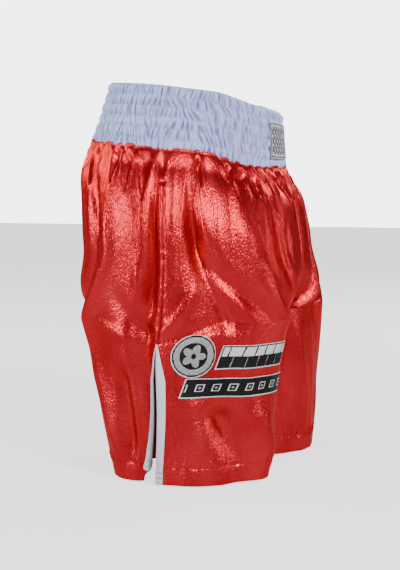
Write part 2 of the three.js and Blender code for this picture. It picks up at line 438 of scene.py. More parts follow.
def lay_flat(
    obj: bpy.types.Object, x: Array, y: Array, depth: Array | float = 0.0, faces: int = 2
) -> None:
    """Stores cloth coordinates, which weaves and crinkles follow.

    Args:
        obj: The piece.
        x: Distance across the cloth at each point of its grid, in millimetres.
        y: Distance along the cloth.
        depth: Third coordinate, such as the height of a ruffle, from which the waistband's colour
            paints shade and highlight.
        faces: How many times the mesh repeats the grid.
    """
    flat = np.stack(np.broadcast_arrays(x, y, depth), axis=-1).reshape(-1, 3)
    layer = obj.data.attributes.new("flat", "FLOAT_VECTOR", "POINT")
    layer.data.foreach_set("vector", (np.tile(flat, (faces, 1)) * MM).ravel())


def dress(obj: bpy.types.Object, *materials: bpy.types.Material) -> None:
    """Gives a piece its materials."""
    obj.data.materials.clear()
    for material in materials:
        obj.data.materials.append(material)


def choose_threads(obj: bpy.types.Object, cells: Array) -> None:
    """Chooses the material of each outer face of a sheet.

    Args:
        obj: A piece from closed_sheet, dressed in its materials.
        cells: Index of the material at each cell of the outer grid.
    """
    index = np.zeros(len(obj.data.polygons), int)
    index[: cells.size] = cells.ravel()
    obj.data.polygons.foreach_set("material_index", index.tolist())


# ------------------------------------------------------------------ materials


class Nodes:
    """A small helper for building a material's node tree."""

    def __init__(self, name: str) -> None:
        """Makes a material with only a Principled shader.

        Args:
            name: The material's name.
        """
        self.material = bpy.data.materials.new(name)
        self.material.use_nodes = True
        self.tree = self.material.node_tree
        self.tree.nodes.clear()
        self.out = self.tree.nodes.new("ShaderNodeOutputMaterial")
        self.bsdf = self.tree.nodes.new("ShaderNodeBsdfPrincipled")
        self.tree.links.new(self.bsdf.outputs[0], self.out.inputs[0])

    def node(self, kind: str, **settings: object) -> bpy.types.Node:
        """Adds a node.

        Args:
            kind: Blender's name for the node.
            **settings: The node's properties.

        Returns:
            The node.
        """
        made = self.tree.nodes.new(kind)
        for key, value in settings.items():
            setattr(made, key, value)
        return made

    def link(self, a: Socket, b: Socket) -> None:
        """Joins an output to an input."""
        self.tree.links.new(a, b)

    def attribute(self, name: str) -> Socket:
        """A vector attribute of the mesh."""
        return self.node("ShaderNodeAttribute", attribute_name=name).outputs["Vector"]

    def scaled(self, source: Socket, scale: Triple) -> Socket:
        """Multiplies a vector by a scale.

        Args:
            source: The vector.
            scale: Its three factors.

        Returns:
            The scaled vector.
        """
        made = self.node("ShaderNodeVectorMath", operation="MULTIPLY")
        made.inputs[1].default_value = scale
        self.link(source, made.inputs[0])
        return made.outputs[0]

    def noise(self, source: Socket, scale: float, detail: float, rough: float = 0.5) -> Socket:
        """Adds a noise texture.

        Args:
            source: Coordinates.
            scale: Noise cells per metre.
            detail: Number of octaves above the first.
            rough: Weight of each octave against the one before.

        Returns:
            The noise's value.
        """
        made = self.node("ShaderNodeTexNoise")
        made.inputs["Scale"].default_value = scale
        made.inputs["Detail"].default_value = detail
        made.inputs["Roughness"].default_value = rough
        self.link(source, made.inputs["Vector"])
        return made.outputs["Fac"]

    def math(self, operation: str, a: Socket, b: Socket | float) -> Socket:
        """Adds a maths node.

        Args:
            operation: Blender's name for the operation.
            a: First value.
            b: Second value.

        Returns:
            The result.
        """
        made = self.node("ShaderNodeMath", operation=operation)
        self.link(a, made.inputs[0])
        if isinstance(b, (int, float)):
            made.inputs[1].default_value = b
        else:
            self.link(b, made.inputs[1])
        return made.outputs[0]

    def ramp(self, source: Socket, stops: list[tuple[float, Triple]]) -> Socket:
        """Adds a colour ramp.

        Args:
            source: The value to colour.
            stops: Place and colour of each stop.

        Returns:
            The colour.
        """
        made = self.node("ShaderNodeValToRGB")
        elements = made.color_ramp.elements
        for i, (place, colour) in enumerate(stops):
            element = elements[i] if i < 2 else elements.new(place)
            element.position = place
            element.color = (*colour, 1.0)
        self.link(source, made.inputs[0])
        return made.outputs[0]

    def bump(
        self, height: Socket, strength: float, distance: float, below: Socket | None = None
    ) -> Socket:
        """Adds a bump node.

        Args:
            height: Height of the relief.
            strength: Its strength from 0 to 1.
            distance: Height in metres of a value of 1.
            below: Normal of a coarser bump.

        Returns:
            The bumped normal.
        """
        made = self.node("ShaderNodeBump")
        made.inputs["Strength"].default_value = strength
        made.inputs["Distance"].default_value = distance
        self.link(height, made.inputs["Height"])
        if below is not None:
            self.link(below, made.inputs["Normal"])
        return made.outputs[0]


@dataclass(frozen=True)
class SatinFinish:
    """Crepe-backed satin: a crinkled, softly shining cloth."""

    name: str
    deep: Triple
    light: Triple
    roughness: float = 0.36
    metallic: float = 0.35
    crinkle: float = 0.5
    grain: float = 0.0016
    tint: Triple = (1.0, 1.0, 1.0)

    def build(self) -> bpy.types.Material:
        """Makes the node material.

        Returns:
            The material.
        """
        n = Nodes(self.name)
        flat = n.attribute("flat")
        broad = n.noise(n.scaled(flat, (1.0, 0.6, 1.0)), 18.0, 3.0)
        colour = n.ramp(broad, [(0.35, self.deep), (0.68, self.light)])
        n.link(colour, n.bsdf.inputs["Base Color"])
        squiggle = n.noise(n.scaled(flat, (1.0, 0.8, 1.0)), 1.0 / (self.grain * 2.0), 2.0, 0.6)
        swell = n.noise(n.scaled(flat, (1.0, 0.7, 1.0)), 1.0 / (self.grain * 8.0), 2.0, 0.5)
        weave = n.noise(n.scaled(flat, (1.0, 0.25, 1.0)), 2600.0, 1.0)
        first = n.bump(swell, self.crinkle, 0.0009)
        second = n.bump(squiggle, self.crinkle, 0.0011, first)
        third = n.bump(weave, 0.25, 0.0001, second)
        n.link(third, n.bsdf.inputs["Normal"])
        n.bsdf.inputs["Roughness"].default_value = self.roughness
        n.bsdf.inputs["Metallic"].default_value = self.metallic
        n.bsdf.inputs["Specular IOR Level"].default_value = 0.5
        n.bsdf.inputs["Specular Tint"].default_value = (*self.tint, 1.0)
        return n.material


@dataclass(frozen=True)
class ShirredFinish:
    """Pale satin shirred over elastic; painted shade darkens it in the ruffles' valleys and
    painted highlight lightens their crests.
    """

    name: str
    deep: Triple
    light: Triple
    roughness: float = 0.48

    def build(self) -> bpy.types.Material:
        """Makes the node material.

        Returns:
            The material.
        """
        n = Nodes(self.name)
        flat = n.attribute("flat")
        split = n.node("ShaderNodeSeparateXYZ")
        n.link(flat, split.inputs[0])
        fine = n.noise(n.scaled(flat, (1.0, 0.2, 1.0)), 900.0, 2.0)
        # painted shade and highlight: the ruffle height darkens the base colour in the valleys and
        # lightens it on the crests; the fine noise adds random tone
        high = n.math("MULTIPLY", split.outputs[2], 330.0)
        level = n.math("ADD", high, 0.33)
        mixed = n.math("ADD", level, n.math("MULTIPLY", fine, 0.3))
        colour = n.ramp(mixed, [(0.0, self.deep), (0.62, self.light)])
        n.link(colour, n.bsdf.inputs["Base Color"])
        n.link(n.bump(fine, 0.5, 0.0004), n.bsdf.inputs["Normal"])
        n.bsdf.inputs["Roughness"].default_value = self.roughness
        n.bsdf.inputs["Specular IOR Level"].default_value = 0.4
        return n.material


@dataclass(frozen=True)
class ThreadFinish:
    """Embroidery or sewing thread: fine parallel strands with a soft shine."""

    name: str
    dark: Triple
    light: Triple
    strands: float = 900.0
    roughness: float = 0.5

    def build(self) -> bpy.types.Material:
        """Makes the node material.

        Returns:
            The material.
        """
        n = Nodes(self.name)
        flat = n.attribute("flat")
        wave = n.node("ShaderNodeTexWave", wave_type="BANDS", bands_direction="DIAGONAL")
        wave.inputs["Scale"].default_value = self.strands
        wave.inputs["Distortion"].default_value = 1.2
        wave.inputs["Detail"].default_value = 1.0
        n.link(flat, wave.inputs["Vector"])
        tone = n.noise(flat, 260.0, 2.0)
        mixed = n.math("MULTIPLY", wave.outputs["Fac"], tone)
        colour = n.ramp(mixed, [(0.1, self.dark), (0.5, self.light)])
        n.link(colour, n.bsdf.inputs["Base Color"])
        n.link(n.bump(wave.outputs["Fac"], 0.5, 0.0003), n.bsdf.inputs["Normal"])
        n.bsdf.inputs["Roughness"].default_value = self.roughness
        n.bsdf.inputs["Specular IOR Level"].default_value = 0.2
        return n.material


RED_SATIN = SatinFinish(
    "red_crepe_satin",
    deep=(0.46, 0.012, 0.019),
    light=(0.62, 0.025, 0.035),
    roughness=0.325,
    metallic=0.8,
    crinkle=0.7,
    grain=0.0012,
    tint=(0.95, 0.16, 0.17),
)
# pale waist satin with painted shade in the ruffles' valleys and painted highlight on their crests
PALE_SATIN_PAINTED_SHADE = ShirredFinish("pale_waist_satin", (0.17, 0.19, 0.42), (0.45, 0.51, 0.88))
WHITE_SATIN = SatinFinish(
    "white_facing_satin",
    deep=(0.60, 0.64, 0.72),
    light=(0.74, 0.78, 0.86),
    roughness=0.42,
    metallic=0.0,
    crinkle=0.15,
)
RED_THREAD = ThreadFinish("red_thread", (0.22, 0.006, 0.006), (0.5, 0.02, 0.02))
GREY_THREAD = ThreadFinish("grey_embroidery", (0.22, 0.215, 0.215), (0.50, 0.49, 0.49))
PALE_THREAD = ThreadFinish("pale_embroidery", (0.52, 0.51, 0.53), (0.84, 0.83, 0.85))
SEAM_THREAD = ThreadFinish("waist_thread", (0.34, 0.37, 0.50), (0.56, 0.60, 0.74))
BLACK_THREAD = ThreadFinish("black_embroidery", (0.001, 0.001, 0.001), (0.006, 0.005, 0.006))
LABEL_WEAVE = ThreadFinish("silver_label_weave", (0.36, 0.36, 0.40), (0.62, 0.62, 0.66), 1400.0)
ELASTIC = ThreadFinish("elastic_braid", (0.6, 0.58, 0.52), (0.86, 0.84, 0.78), 700.0, 0.8)


# ------------------------------------------------------------------ folds


@dataclass(frozen=True)
class FoldSizes:
    """How the satin is gathered and how its folds fall, in millimetres."""

    columns: int = 150
    rows: int = 230
    roll_rows: int = 12
    thickness: float = 0.7
    fold_height: float = 7.5
    ridge_height: float = 3.4
    well_depth: float = 6.6
    line_height: float = 1.7
    broad_spacing: float = 29.0
    broad_height: float = 13.0
    gather_spacing: float = 31.0
    cap: float = 4.4
    cap_softness: float = 1.8
    hang: float = 3.2
    vent_top: float = 160.0
    hem: float = 21.0
    puff: float = 4.2
    puff_rise: float = 4.0
    front_slit: Table = ((0, 2.4), (60, 2.2), (110, 1.4), (140, 0.8), (160, 0.1))
    back_slit: Table = (
        (0, 24.0), (7, 22.5), (12, 17.0), (27, 14.2), (45, 12.2), (63, 10.8),
        (82, 10.2), (100, 9.9), (116, 9.0), (134, 4.4), (160, 0.1),
    )
    half_round: float = 380.0
    gather_limits: tuple[float, float] = (13, 56)
    lump_heights: tuple[float, float] = (0.35, 1.0)
    well_share: float = 0.62
    well_lengths: tuple[float, float] = (22, 62)
    well_depths: tuple[float, float] = (0.35, 1.2)
    ridge_heights: tuple[float, float] = (0.3, 1.3)
    ridge_widths: tuple[float, float] = (1.8, 4.5)
    fold_heights: tuple[float, float] = (0.2, 1.1)
    fold_widths: tuple[float, float] = (10, 20)
    fold_lengths: tuple[float, float] = (150, 380)
    broad_widths: tuple[float, float] = (9, 19)
    broad_lengths: tuple[float, float] = (300, 700)
    lines: int = 26
    line_starts: tuple[float, float] = (0, 120)
    line_lengths: tuple[float, float] = (60, 230)
    line_width: float = 2.8
    seam_width: float = 3.2
    seam_depth: float = 1.7
    seam_puff: float = 3.2
    patch_stiffness: float = 0.45
    hem_groove: float = 0.9
    hem_ripple: float = 0.75
    flat_size: tuple[float, float] = (0.31, 0.48)
    flat_share: float = 0.85


@dataclass(frozen=True)
class Crease:
    """A single fold line, from one place on a panel to another.

    Places are the share of the way from the side seam, and the height.
    """

    start: tuple[float, float]
    end: tuple[float, float]
    height: float
    width: float

    def __call__(self, turn: Array, z: Array) -> Array:
        """Displacement at points.

        Args:
            turn: Share of the way round from the side seam.
            z: Nominal height.

        Returns:
            Outward displacement in millimetres.
        """
        ax, az = self.start[0] * LEG_HALF_ROUND, self.start[1]
        bx, bz = self.end[0] * LEG_HALF_ROUND, self.end[1]
        x = turn * LEG_HALF_ROUND
        length2 = (bx - ax) ** 2 + (bz - az) ** 2
        t = ((x - ax) * (bx - ax) + (z - az) * (bz - az)) / length2
        clipped = np.clip(t, 0, 1)
        away = np.hypot(x - ax - clipped * (bx - ax), z - az - clipped * (bz - az))
        ends = smoothstep(t, -0.05, 0.25) * (1 - smoothstep(t, 0.65, 1.05))
        return self.height * ends * np.exp(-((away / self.width) ** 2))


RIGHT_FRONT_CREASES = (
    Crease((0.70, 318), (0.73, 196), 3.4, 5.0),
    Crease((0.70, 318), (0.83, 200), 3.0, 5.0),
    Crease((0.76, 300), (0.80, 190), -4.0, 8.0),
    Crease((0.00, 168), (0.16, 232), 2.6, 6.0),
    Crease((0.02, 160), (0.26, 196), -3.0, 7.0),
    Crease((0.02, 158), (0.22, 172), 2.2, 5.0),
    Crease((0.08, 150), (0.36, 16), -14.0, 18.0),
    Crease((0.32, 96), (0.54, 8), 8.5, 19.0),
    Crease((0.12, 300), (0.44, 176), -8.5, 15.0),
    Crease((0.44, 330), (0.52, 120), 6.5, 20.0),
    Crease((0.58, 240), (0.66, 40), -7.5, 14.0),
)
RIGHT_BACK_CREASES = (
    Crease((0.02, 166), (0.16, 262), 3.2, 7.0),
    Crease((0.01, 160), (0.24, 226), -3.2, 8.0),
    Crease((0.05, 158), (0.30, 190), 2.4, 7.0),
    Crease((0.34, 330), (0.30, 120), 8.0, 15.0),
    Crease((0.30, 150), (0.16, 10), 7.0, 14.0),
    Crease((0.14, 140), (0.12, 10), -9.0, 11.0),
    Crease((0.50, 260), (0.42, 30), -7.0, 16.0),
)
LEFT_FRONT_CREASES = (
    Crease((0.60, 250), (0.40, 30), -5.0, 18.0),
    Crease((0.78, 220), (0.60, 40), 4.0, 14.0),
    Crease((0.02, 160), (0.22, 206), 2.8, 8.0),
    Crease((0.06, 140), (0.30, 18), -4.0, 16.0),
)
LEFT_BACK_CREASES = (
    Crease((0.02, 162), (0.20, 240), 3.0, 8.0),
    Crease((0.30, 300), (0.36, 80), 4.5, 18.0),
    Crease((0.60, 270), (0.50, 40), -4.5, 16.0),
    Crease((0.10, 140), (0.26, 16), 3.5, 14.0),
)
CREASES = {
    (Side.RIGHT, Face.FRONT): RIGHT_FRONT_CREASES,
    (Side.RIGHT, Face.BACK): RIGHT_BACK_CREASES,
    (Side.LEFT, Face.FRONT): LEFT_FRONT_CREASES,
    (Side.LEFT, Face.BACK): LEFT_BACK_CREASES,
}


class Folds:
    """Displacement of the satin outwards, as a function of place on the garment."""

    def __init__(self, side: Side, sizes: FoldSizes, seed: int) -> None:
        """Draws the gathers and folds of one side of the garment.

        Args:
            side: Which side.
            sizes: Fold sizes.
            seed: Seed of the random draws.
        """
        self.side = side
        self.sizes = sizes
        rng = np.random.default_rng(seed)
        half = sizes.half_round
        count = int(3 * half / sizes.gather_spacing)
        steps = sizes.gather_spacing * np.exp(rng.normal(-0.06, 0.38, count))
        notches = -half + np.cumsum(np.clip(steps, *sizes.gather_limits))
        self.notches = notches[notches < half]
        self.lump_height = rng.uniform(*sizes.lump_heights, len(self.notches) + 1)
        gaps = range(len(self.notches) - 1)
        self.wells = [k for k in gaps if rng.random() < sizes.well_share]
        count = len(self.wells)
        self.merge = rng.uniform(*sizes.well_lengths, count)
        self.well = sizes.well_depth * rng.uniform(*sizes.well_depths, count)
        self.ridge = sizes.ridge_height * rng.uniform(*sizes.ridge_heights, count)
        self.sharp = rng.uniform(*sizes.ridge_widths, count)
        self.fold = sizes.fold_height * rng.uniform(*sizes.fold_heights, count)
        self.width = rng.uniform(*sizes.fold_widths, count)
        self.reach = rng.uniform(*sizes.fold_lengths, count)
        self.lean = rng.normal(0, 0.08, count)
        self.sway = rng.uniform(0, 6.28, count)
        broad = int(2 * half / sizes.broad_spacing)
        steps = np.arange(broad) + rng.uniform(0.1, 0.9, broad)
        self.broad_place = -half + sizes.broad_spacing * steps
        self.broad_height = sizes.broad_height * rng.uniform(-1.0, 1.0, broad)
        self.broad_lean = rng.normal(0, 0.10, broad)
        self.broad_width = rng.uniform(*sizes.broad_widths, broad)
        self.broad_reach = rng.uniform(*sizes.broad_lengths, broad)
        self.line_place = rng.uniform(-half, half, sizes.lines)
        self.line_start = rng.uniform(*sizes.line_starts, sizes.lines)
        self.line_length = rng.uniform(*sizes.line_lengths, sizes.lines)
        self.line_lean = rng.normal(0, 0.14, sizes.lines)
        self.middle = Noise(seed + 2, 46.0, 1.8)
        self.small = Noise(seed + 3, 16.0, 2.6)
        self.pucker = Noise(seed + 4, 9.0, 1.0)
        self.seam = Noise(seed + 5, 11.0, 1.0)

    def lump(self, around: Array) -> Array:
        """Height of the puffs between the gathering stitches.

        Args:
            around: Distance round the garment from the side seam, front negative.

        Returns:
            The height, from 0 to 1.
        """
        i = np.clip(np.searchsorted(self.notches, around), 1, len(self.notches) - 1)
        low, high = self.notches[i - 1], self.notches[i]
        t = np.abs(2 * (around - low) / (high - low) - 1)
        return np.clip(1 - t**2.2, 0, 1) ** 0.75 * self.lump_height[i]

    def __call__(self, around: Array, depth: Array, z: Array) -> Array:
        """Displacement at points.

        Args:
            around: Distance round the garment from the side seam, front negative.
            depth: Distance below the waist seam along the cloth.
            z: Nominal height.

        Returns:
            Outward displacement in millimetres.
        """
        out = self.gathers(around, depth, z)
        out += self.broad_folds(around, depth)
        out += self.sharp_lines(around, depth)
        puffs = 1 - smoothstep(depth, 2, 16)
        out += self.sizes.puff * puffs * self.lump(around)
        out += 0.7 * self.middle(around, 0.35 * z) * smoothstep(depth, 5, 60)
        out += 0.22 * self.small(around, 0.3 * z) * smoothstep(depth, 0, 30)
        cap, soft = self.sizes.cap, self.sizes.cap_softness
        return cap - soft * np.log1p(np.exp((cap - out) / soft)) - self.sizes.hang

    def gathers(self, around: Array, depth: Array, z: Array) -> Array:
        """Wells below the waist seam, the ridges round them and the folds they run into.

        Args:
            around: Distance round the garment from the side seam, front negative.
            depth: Distance below the waist seam along the cloth.
            z: Nominal height.

        Returns:
            Outward displacement in millimetres.
        """
        out = np.zeros(np.broadcast(around, z).shape)
        below = smoothstep(depth, 2, 12)
        for k, first in enumerate(self.wells):
            left, right = self.notches[first], self.notches[first + 1]
            middle, half = (left + right) / 2, (right - left) / 2
            merge, reach = self.merge[k], self.reach[k]
            closing = np.clip(1 - (depth / merge) ** 1.7, 0, 1)
            past = np.clip(depth - merge, 0, None)
            line = middle + self.lean[k] * past + 3.0 * np.sin(depth / 55.0 + self.sway[k])
            line = line - 3.0 * math.sin(self.sway[k])
            away = np.abs(around - line)
            opening = half * closing
            inside = np.clip(1 - away / np.maximum(opening, 1e-3), 0, 1)
            shown = below * smoothstep(closing, 0.0, 0.4)
            out -= self.well[k] * shown * smoothstep(inside, 0, 1.0)
            fade = 1 - 0.9 * smoothstep(depth, reach * 0.25, reach)
            sharp = np.exp(-(((away - opening) / (self.sharp[k] + 0.03 * depth)) ** 2))
            out += self.ridge[k] * below * fade * sharp
            grown = smoothstep(depth, merge * 0.4, merge * 1.8)
            tail = 1 - smoothstep(depth, reach * 0.5, reach * 1.3)
            wide = self.width[k] * (0.8 + depth / 330.0)
            out += self.fold[k] * grown * tail * bump(around, line, wide)
        return out

    def broad_folds(self, around: Array, depth: Array) -> Array:
        """Long soft folds and hollows that fall from the hips.

        Args:
            around: Distance round the garment from the side seam, front negative.
            depth: Distance below the waist seam along the cloth.

        Returns:
            Outward displacement in millimetres.
        """
        out = 0.0
        for k, place in enumerate(self.broad_place):
            line = place + self.broad_lean[k] * depth + 5.0 * np.sin(depth / 80.0 + k)
            wide = self.broad_width[k] * (0.7 + depth / 400.0)
            reach = self.broad_reach[k]
            shown = smoothstep(depth, 10, 70) * (1 - smoothstep(depth, 0.6 * reach, reach))
            out = out + self.broad_height[k] * shown * bump(around, line, wide)
        return out

    def sharp_lines(self, around: Array, depth: Array) -> Array:
        """Fine sharp folds scattered over the cloth.

        Args:
            around: Distance round the garment from the side seam, front negative.
            depth: Distance below the waist seam along the cloth.

        Returns:
            Outward displacement in millimetres.
        """
        out = 0.0
        for k, place in enumerate(self.line_place):
            line = place + self.line_lean[k] * depth + 2.5 * np.sin(depth / 37.0 + 2 * k)
            past, length = depth - self.line_start[k], self.line_length[k]
            shown = smoothstep(past, 0, 25) * (1 - smoothstep(past, 0.5 * length, length))
            away = np.abs(around - line) / self.sizes.line_width
            out = out + self.sizes.line_height * shown * np.exp(-away)
        return out


# ------------------------------------------------------------------ satin body


@dataclass
class SatinPanel:
    """One quarter of the satin: from the waist seam down to the turned-up hem."""

    side: Side
    face: Face
    folds: Folds
    sizes: FoldSizes

    def start(self, z: Array) -> Array:
        """Where the panel starts beside the vent.

        Args:
            z: Nominal height.

        Returns:
            The share of the way from the side seam to the inseam.
        """
        slit = self.sizes.front_slit if self.face is Face.FRONT else self.sizes.back_slit
        heights, widths = zip(*slit, strict=True)
        opening = np.interp(z, heights, widths)
        return np.where(z < self.sizes.vent_top, opening / LEG_HALF_ROUND, 0.0)

    def surface(self, turn: Array, z: Array, extra: Array | float = 0.0) -> Array:
        """Points of the folded cloth.

        Args:
            turn: Share of the way from the side seam to the centre seam or inseam.
            z: Nominal height.
            extra: Distance outside the cloth, in millimetres.

        Returns:
            Points in millimetres.
        """
        base = FORM.satin(self.side, self.face, turn, z)
        step = 1e-3
        du = FORM.satin(self.side, self.face, turn + step, z)
        du -= FORM.satin(self.side, self.face, turn - step, z)
        dv = FORM.satin(self.side, self.face, turn, np.minimum(z + 1.0, FORM.seam_z))
        dv -= FORM.satin(self.side, self.face, turn, np.maximum(z - 1.0, 0.0))
        normal = np.cross(du, dv) * self.face.value * self.side.value
        normal /= np.maximum(np.linalg.norm(normal, axis=-1, keepdims=True), TINY)
        return base + normal * (self.lift(turn, z) + extra)[..., None]

    def lift(self, turn: Array, z: Array) -> Array:
        """How far the cloth stands off the smooth form.

        Args:
            turn: Share of the way from the side seam to the centre seam or inseam.
            z: Nominal height.

        Returns:
            The distance in millimetres.
        """
        s = self.sizes
        around = self.face.value * turn * LEG_HALF_ROUND
        from_side, from_centre = turn * LEG_HALF_ROUND, (1 - turn) * LEG_HALF_ROUND
        folded = self.folds(around, FORM.seam_z - z, z)
        for crease in CREASES[self.side, self.face]:
            folded = folded + crease(turn, z)
        folded = folded * (1 - s.patch_stiffness * self.patch_share(turn, z))
        low = 1 - smoothstep(z, 200, 250)
        folded = folded * (1 - smoothstep(turn, 0.92 - 0.12 * low, 1.0))
        puff = s.seam_puff * smoothstep(z, FORM.seam_z - 20, FORM.seam_z)
        above_vent = z > s.vent_top
        seam = s.seam_depth * bump(from_side, 0.0, s.seam_width) * above_vent
        pull = 0.5 * self.folds.seam(0 * z, z)
        seam = seam + pull * bump(from_side, 0.0, 5.0) * above_vent
        centre = s.seam_depth * bump(from_centre, 0.0, s.seam_width)
        groove = s.hem_groove * bump(z, s.hem, 1.5)
        ripple = s.hem_ripple * self.folds.pucker(around, 0.25 * z) * bump(z, s.hem, 6.0)
        return folded + puff - seam - centre - groove + ripple + self.vent_tuck(turn, z)

    def patch_share(self, turn: Array, z: Array) -> Array:
        """Where the embroidery on the right leg stiffens the cloth.

        Args:
            turn: Share of the way from the side seam to the inseam.
            z: Nominal height.

        Returns:
            1 under the embroidery, 0 away from it.
        """
        if (self.side, self.face) != (Side.RIGHT, Face.FRONT):
            return np.zeros(np.broadcast(turn, z).shape)
        inside = smoothstep(turn, 0.02, 0.08) * (1 - smoothstep(turn, 0.5, 0.6))
        return inside * smoothstep(z, 72, 92) * (1 - smoothstep(z, 166, 186))

    def vent_tuck(self, turn: Array, z: Array) -> Array:
        """How the two edges of the vent turn: the back one in, the front one out.

        Args:
            turn: Share of the way from the side seam to the inseam.
            z: Nominal height.

        Returns:
            Outward displacement in millimetres.
        """
        low = 1 - smoothstep(z, self.sizes.vent_top - 60, self.sizes.vent_top)
        near = 1 - smoothstep(turn * LEG_HALF_ROUND, 4, 30)
        depth = -5.5 if self.face is Face.BACK else 1.0
        return depth * low * near

    def build(self) -> bpy.types.Object:
        """Makes the panel as a closed thin solid.

        Returns:
            The object.
        """
        s = self.sizes
        z = np.linspace(0.0, FORM.seam_z, s.rows)[:, None] * np.ones((1, s.columns))
        share = np.linspace(0, 1, s.columns)[None, :]
        start = self.start(z)
        turn = start + (1 - start) * share
        outer = self.surface(turn, z)
        inner = self.surface(turn, z, -s.thickness)
        outer, inner = self.rolled(outer, inner, turn[-1])
        rows = np.concatenate([z[:, 0], np.full(s.roll_rows, FORM.seam_z)])
        for grid in (outer, inner):
            grid[..., 0] = self.clear_of_middle(grid[..., 0])
            grid[rows > FORM.crotch_z, -1, 0] = self.side.value * 0.05
        flip = self.side.value * self.face.value < 0
        name = f"{self.side.label}_{self.face.label}_panel"
        obj = closed_sheet(name, outer, inner, flip)
        rise = np.arange(1, s.roll_rows + 1)[:, None] * np.ones((1, s.columns))
        turn = np.concatenate([turn, np.repeat(turn[-1:], s.roll_rows, axis=0)])
        z = np.concatenate([z, FORM.seam_z + rise])
        lay_flat(obj, turn * LEG_HALF_ROUND * self.face.value, z)
        return obj

    def rolled(self, outer: Array, inner: Array, turn: Array) -> tuple[Array, Array]:
        """Adds rows that roll the top edge over and down to the waist seam.

        Args:
            outer: Outer grid of points.
            inner: Inner grid of points.
            turn: Share of the way round at each column of the top row.

        Returns:
            The two grids with the rolled rows.
        """
        s = self.sizes
        seam = np.full(turn.shape, FORM.seam_z)
        lift = self.lift(turn, seam)
        puff = self.folds.lump(self.face.value * turn * LEG_HALF_ROUND)
        height = s.puff_rise * (0.25 + 0.75 * puff * (1 - smoothstep(turn, 0.94, 1.0)))
        outer_rows, inner_rows = [outer], [inner]
        for k in range(1, s.roll_rows + 1):
            t = k / s.roll_rows
            fall = (1 + math.cos(math.pi * t)) / 2
            up = height * math.sin(math.pi * t) ** 0.85 - 2.5 * t**3
            out = lift * fall + 0.9 * (1 - fall)
            for rows, depth in ((outer_rows, 0.0), (inner_rows, s.thickness)):
                extra = out - lift - depth * math.cos(math.pi * t)
                points = self.surface(turn, seam, extra)
                points[:, 2] += up - depth * math.sin(math.pi * t)
                rows.append(points[None])
        return np.concatenate(outer_rows), np.concatenate(inner_rows)

    def clear_of_middle(self, x: Array) -> Array:
        """Keeps the cloth on its own side of the middle plane."""
        return self.side.value * np.maximum(self.side.value * x, 0.05)


class SatinBody:
    """The four satin panels of the shorts; the bend constants are in metres."""

    BEND_START_Z = 0.198
    BEND_END_Z = 0.135
    BEND_END_X = 0.025
    STITCH_POINTS = 220

    def __init__(self) -> None:
        """Plans the panels and their folds."""
        self.sizes = FoldSizes()
        self.panels: dict[tuple[Side, Face], SatinPanel] = {}
        for side, seed in ((Side.RIGHT, 11), (Side.LEFT, 57)):
            folds = Folds(side, self.sizes, seed)
            for face in Face:
                self.panels[side, face] = SatinPanel(side, face, folds, self.sizes)

    def build(self) -> None:
        """Makes every panel, hides the CAD solids that it replaces, and sews the hems."""
        satin = RED_SATIN.build()
        for (side, face), panel in self.panels.items():
            obj = panel.build()
            dress(obj, satin)
            prefix = f"{side.label}_{face.label}"
            solids = ("hip_panel", "crease_band", "leg_panel", "hem_turn_up")
            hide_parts(*(f"{prefix}_{solid}" for solid in solids))
            side.leg
            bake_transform(obj)
        for side in Side:
            self.hem_stitches(side)

    def hem_stitches(self, side: Side) -> None:
        """Sews the turned-up hem of one leg.

        Args:
            side: Which leg.
        """
        rows = Stitching(f"{side.label}_hem_stitches", 0.2)
        row = np.array([[-0.4], [0.0], [0.4]]) + np.zeros((1, self.STITCH_POINTS))
        share = np.linspace(0.045, 1, self.STITCH_POINTS)[None, :]
        for face in Face:
            panel = self.panels[side, face]
            z = self.sizes.hem - 0.6 + row
            turn = panel.start(z) + (0.985 - panel.start(z)) * share
            grid = panel.surface(turn, z, 0.12)
            rows.row(grid[1], normals_of(grid)[1] * side.value * face.value)
        obj = rows.build(RED_THREAD.build())
        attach(obj, side.leg)


# ------------------------------------------------------------------ waistband


@dataclass(frozen=True)
class WaistbandSizes:
    """The shirred waistband, in millimetres."""

    columns: int = 1100
    channels: int = 6
    rows_per_channel: int = 9
    bulge: float = 1.0
    pinch: float = 0.4
    ruffle: float = 0.95
    ruffle_spacing: float = 5.2
    label_half_width: float = 39.0
    label_height: float = 45.0
    label_above_seam: float = 14.0
    label_columns: int = 110
    label_rows: int = 70
    label_lift: float = 2.3
    label_back: float = 1.5
    diamond: tuple[float, float] = (9.0, 11.0)
    wall: float = 5.2
    top_wall: float = 4.2
    elastic_columns: int = 240
    elastic_outer: float = -2.4
    elastic_inner: float = -3.8
    elastic_margin: float = 0.12


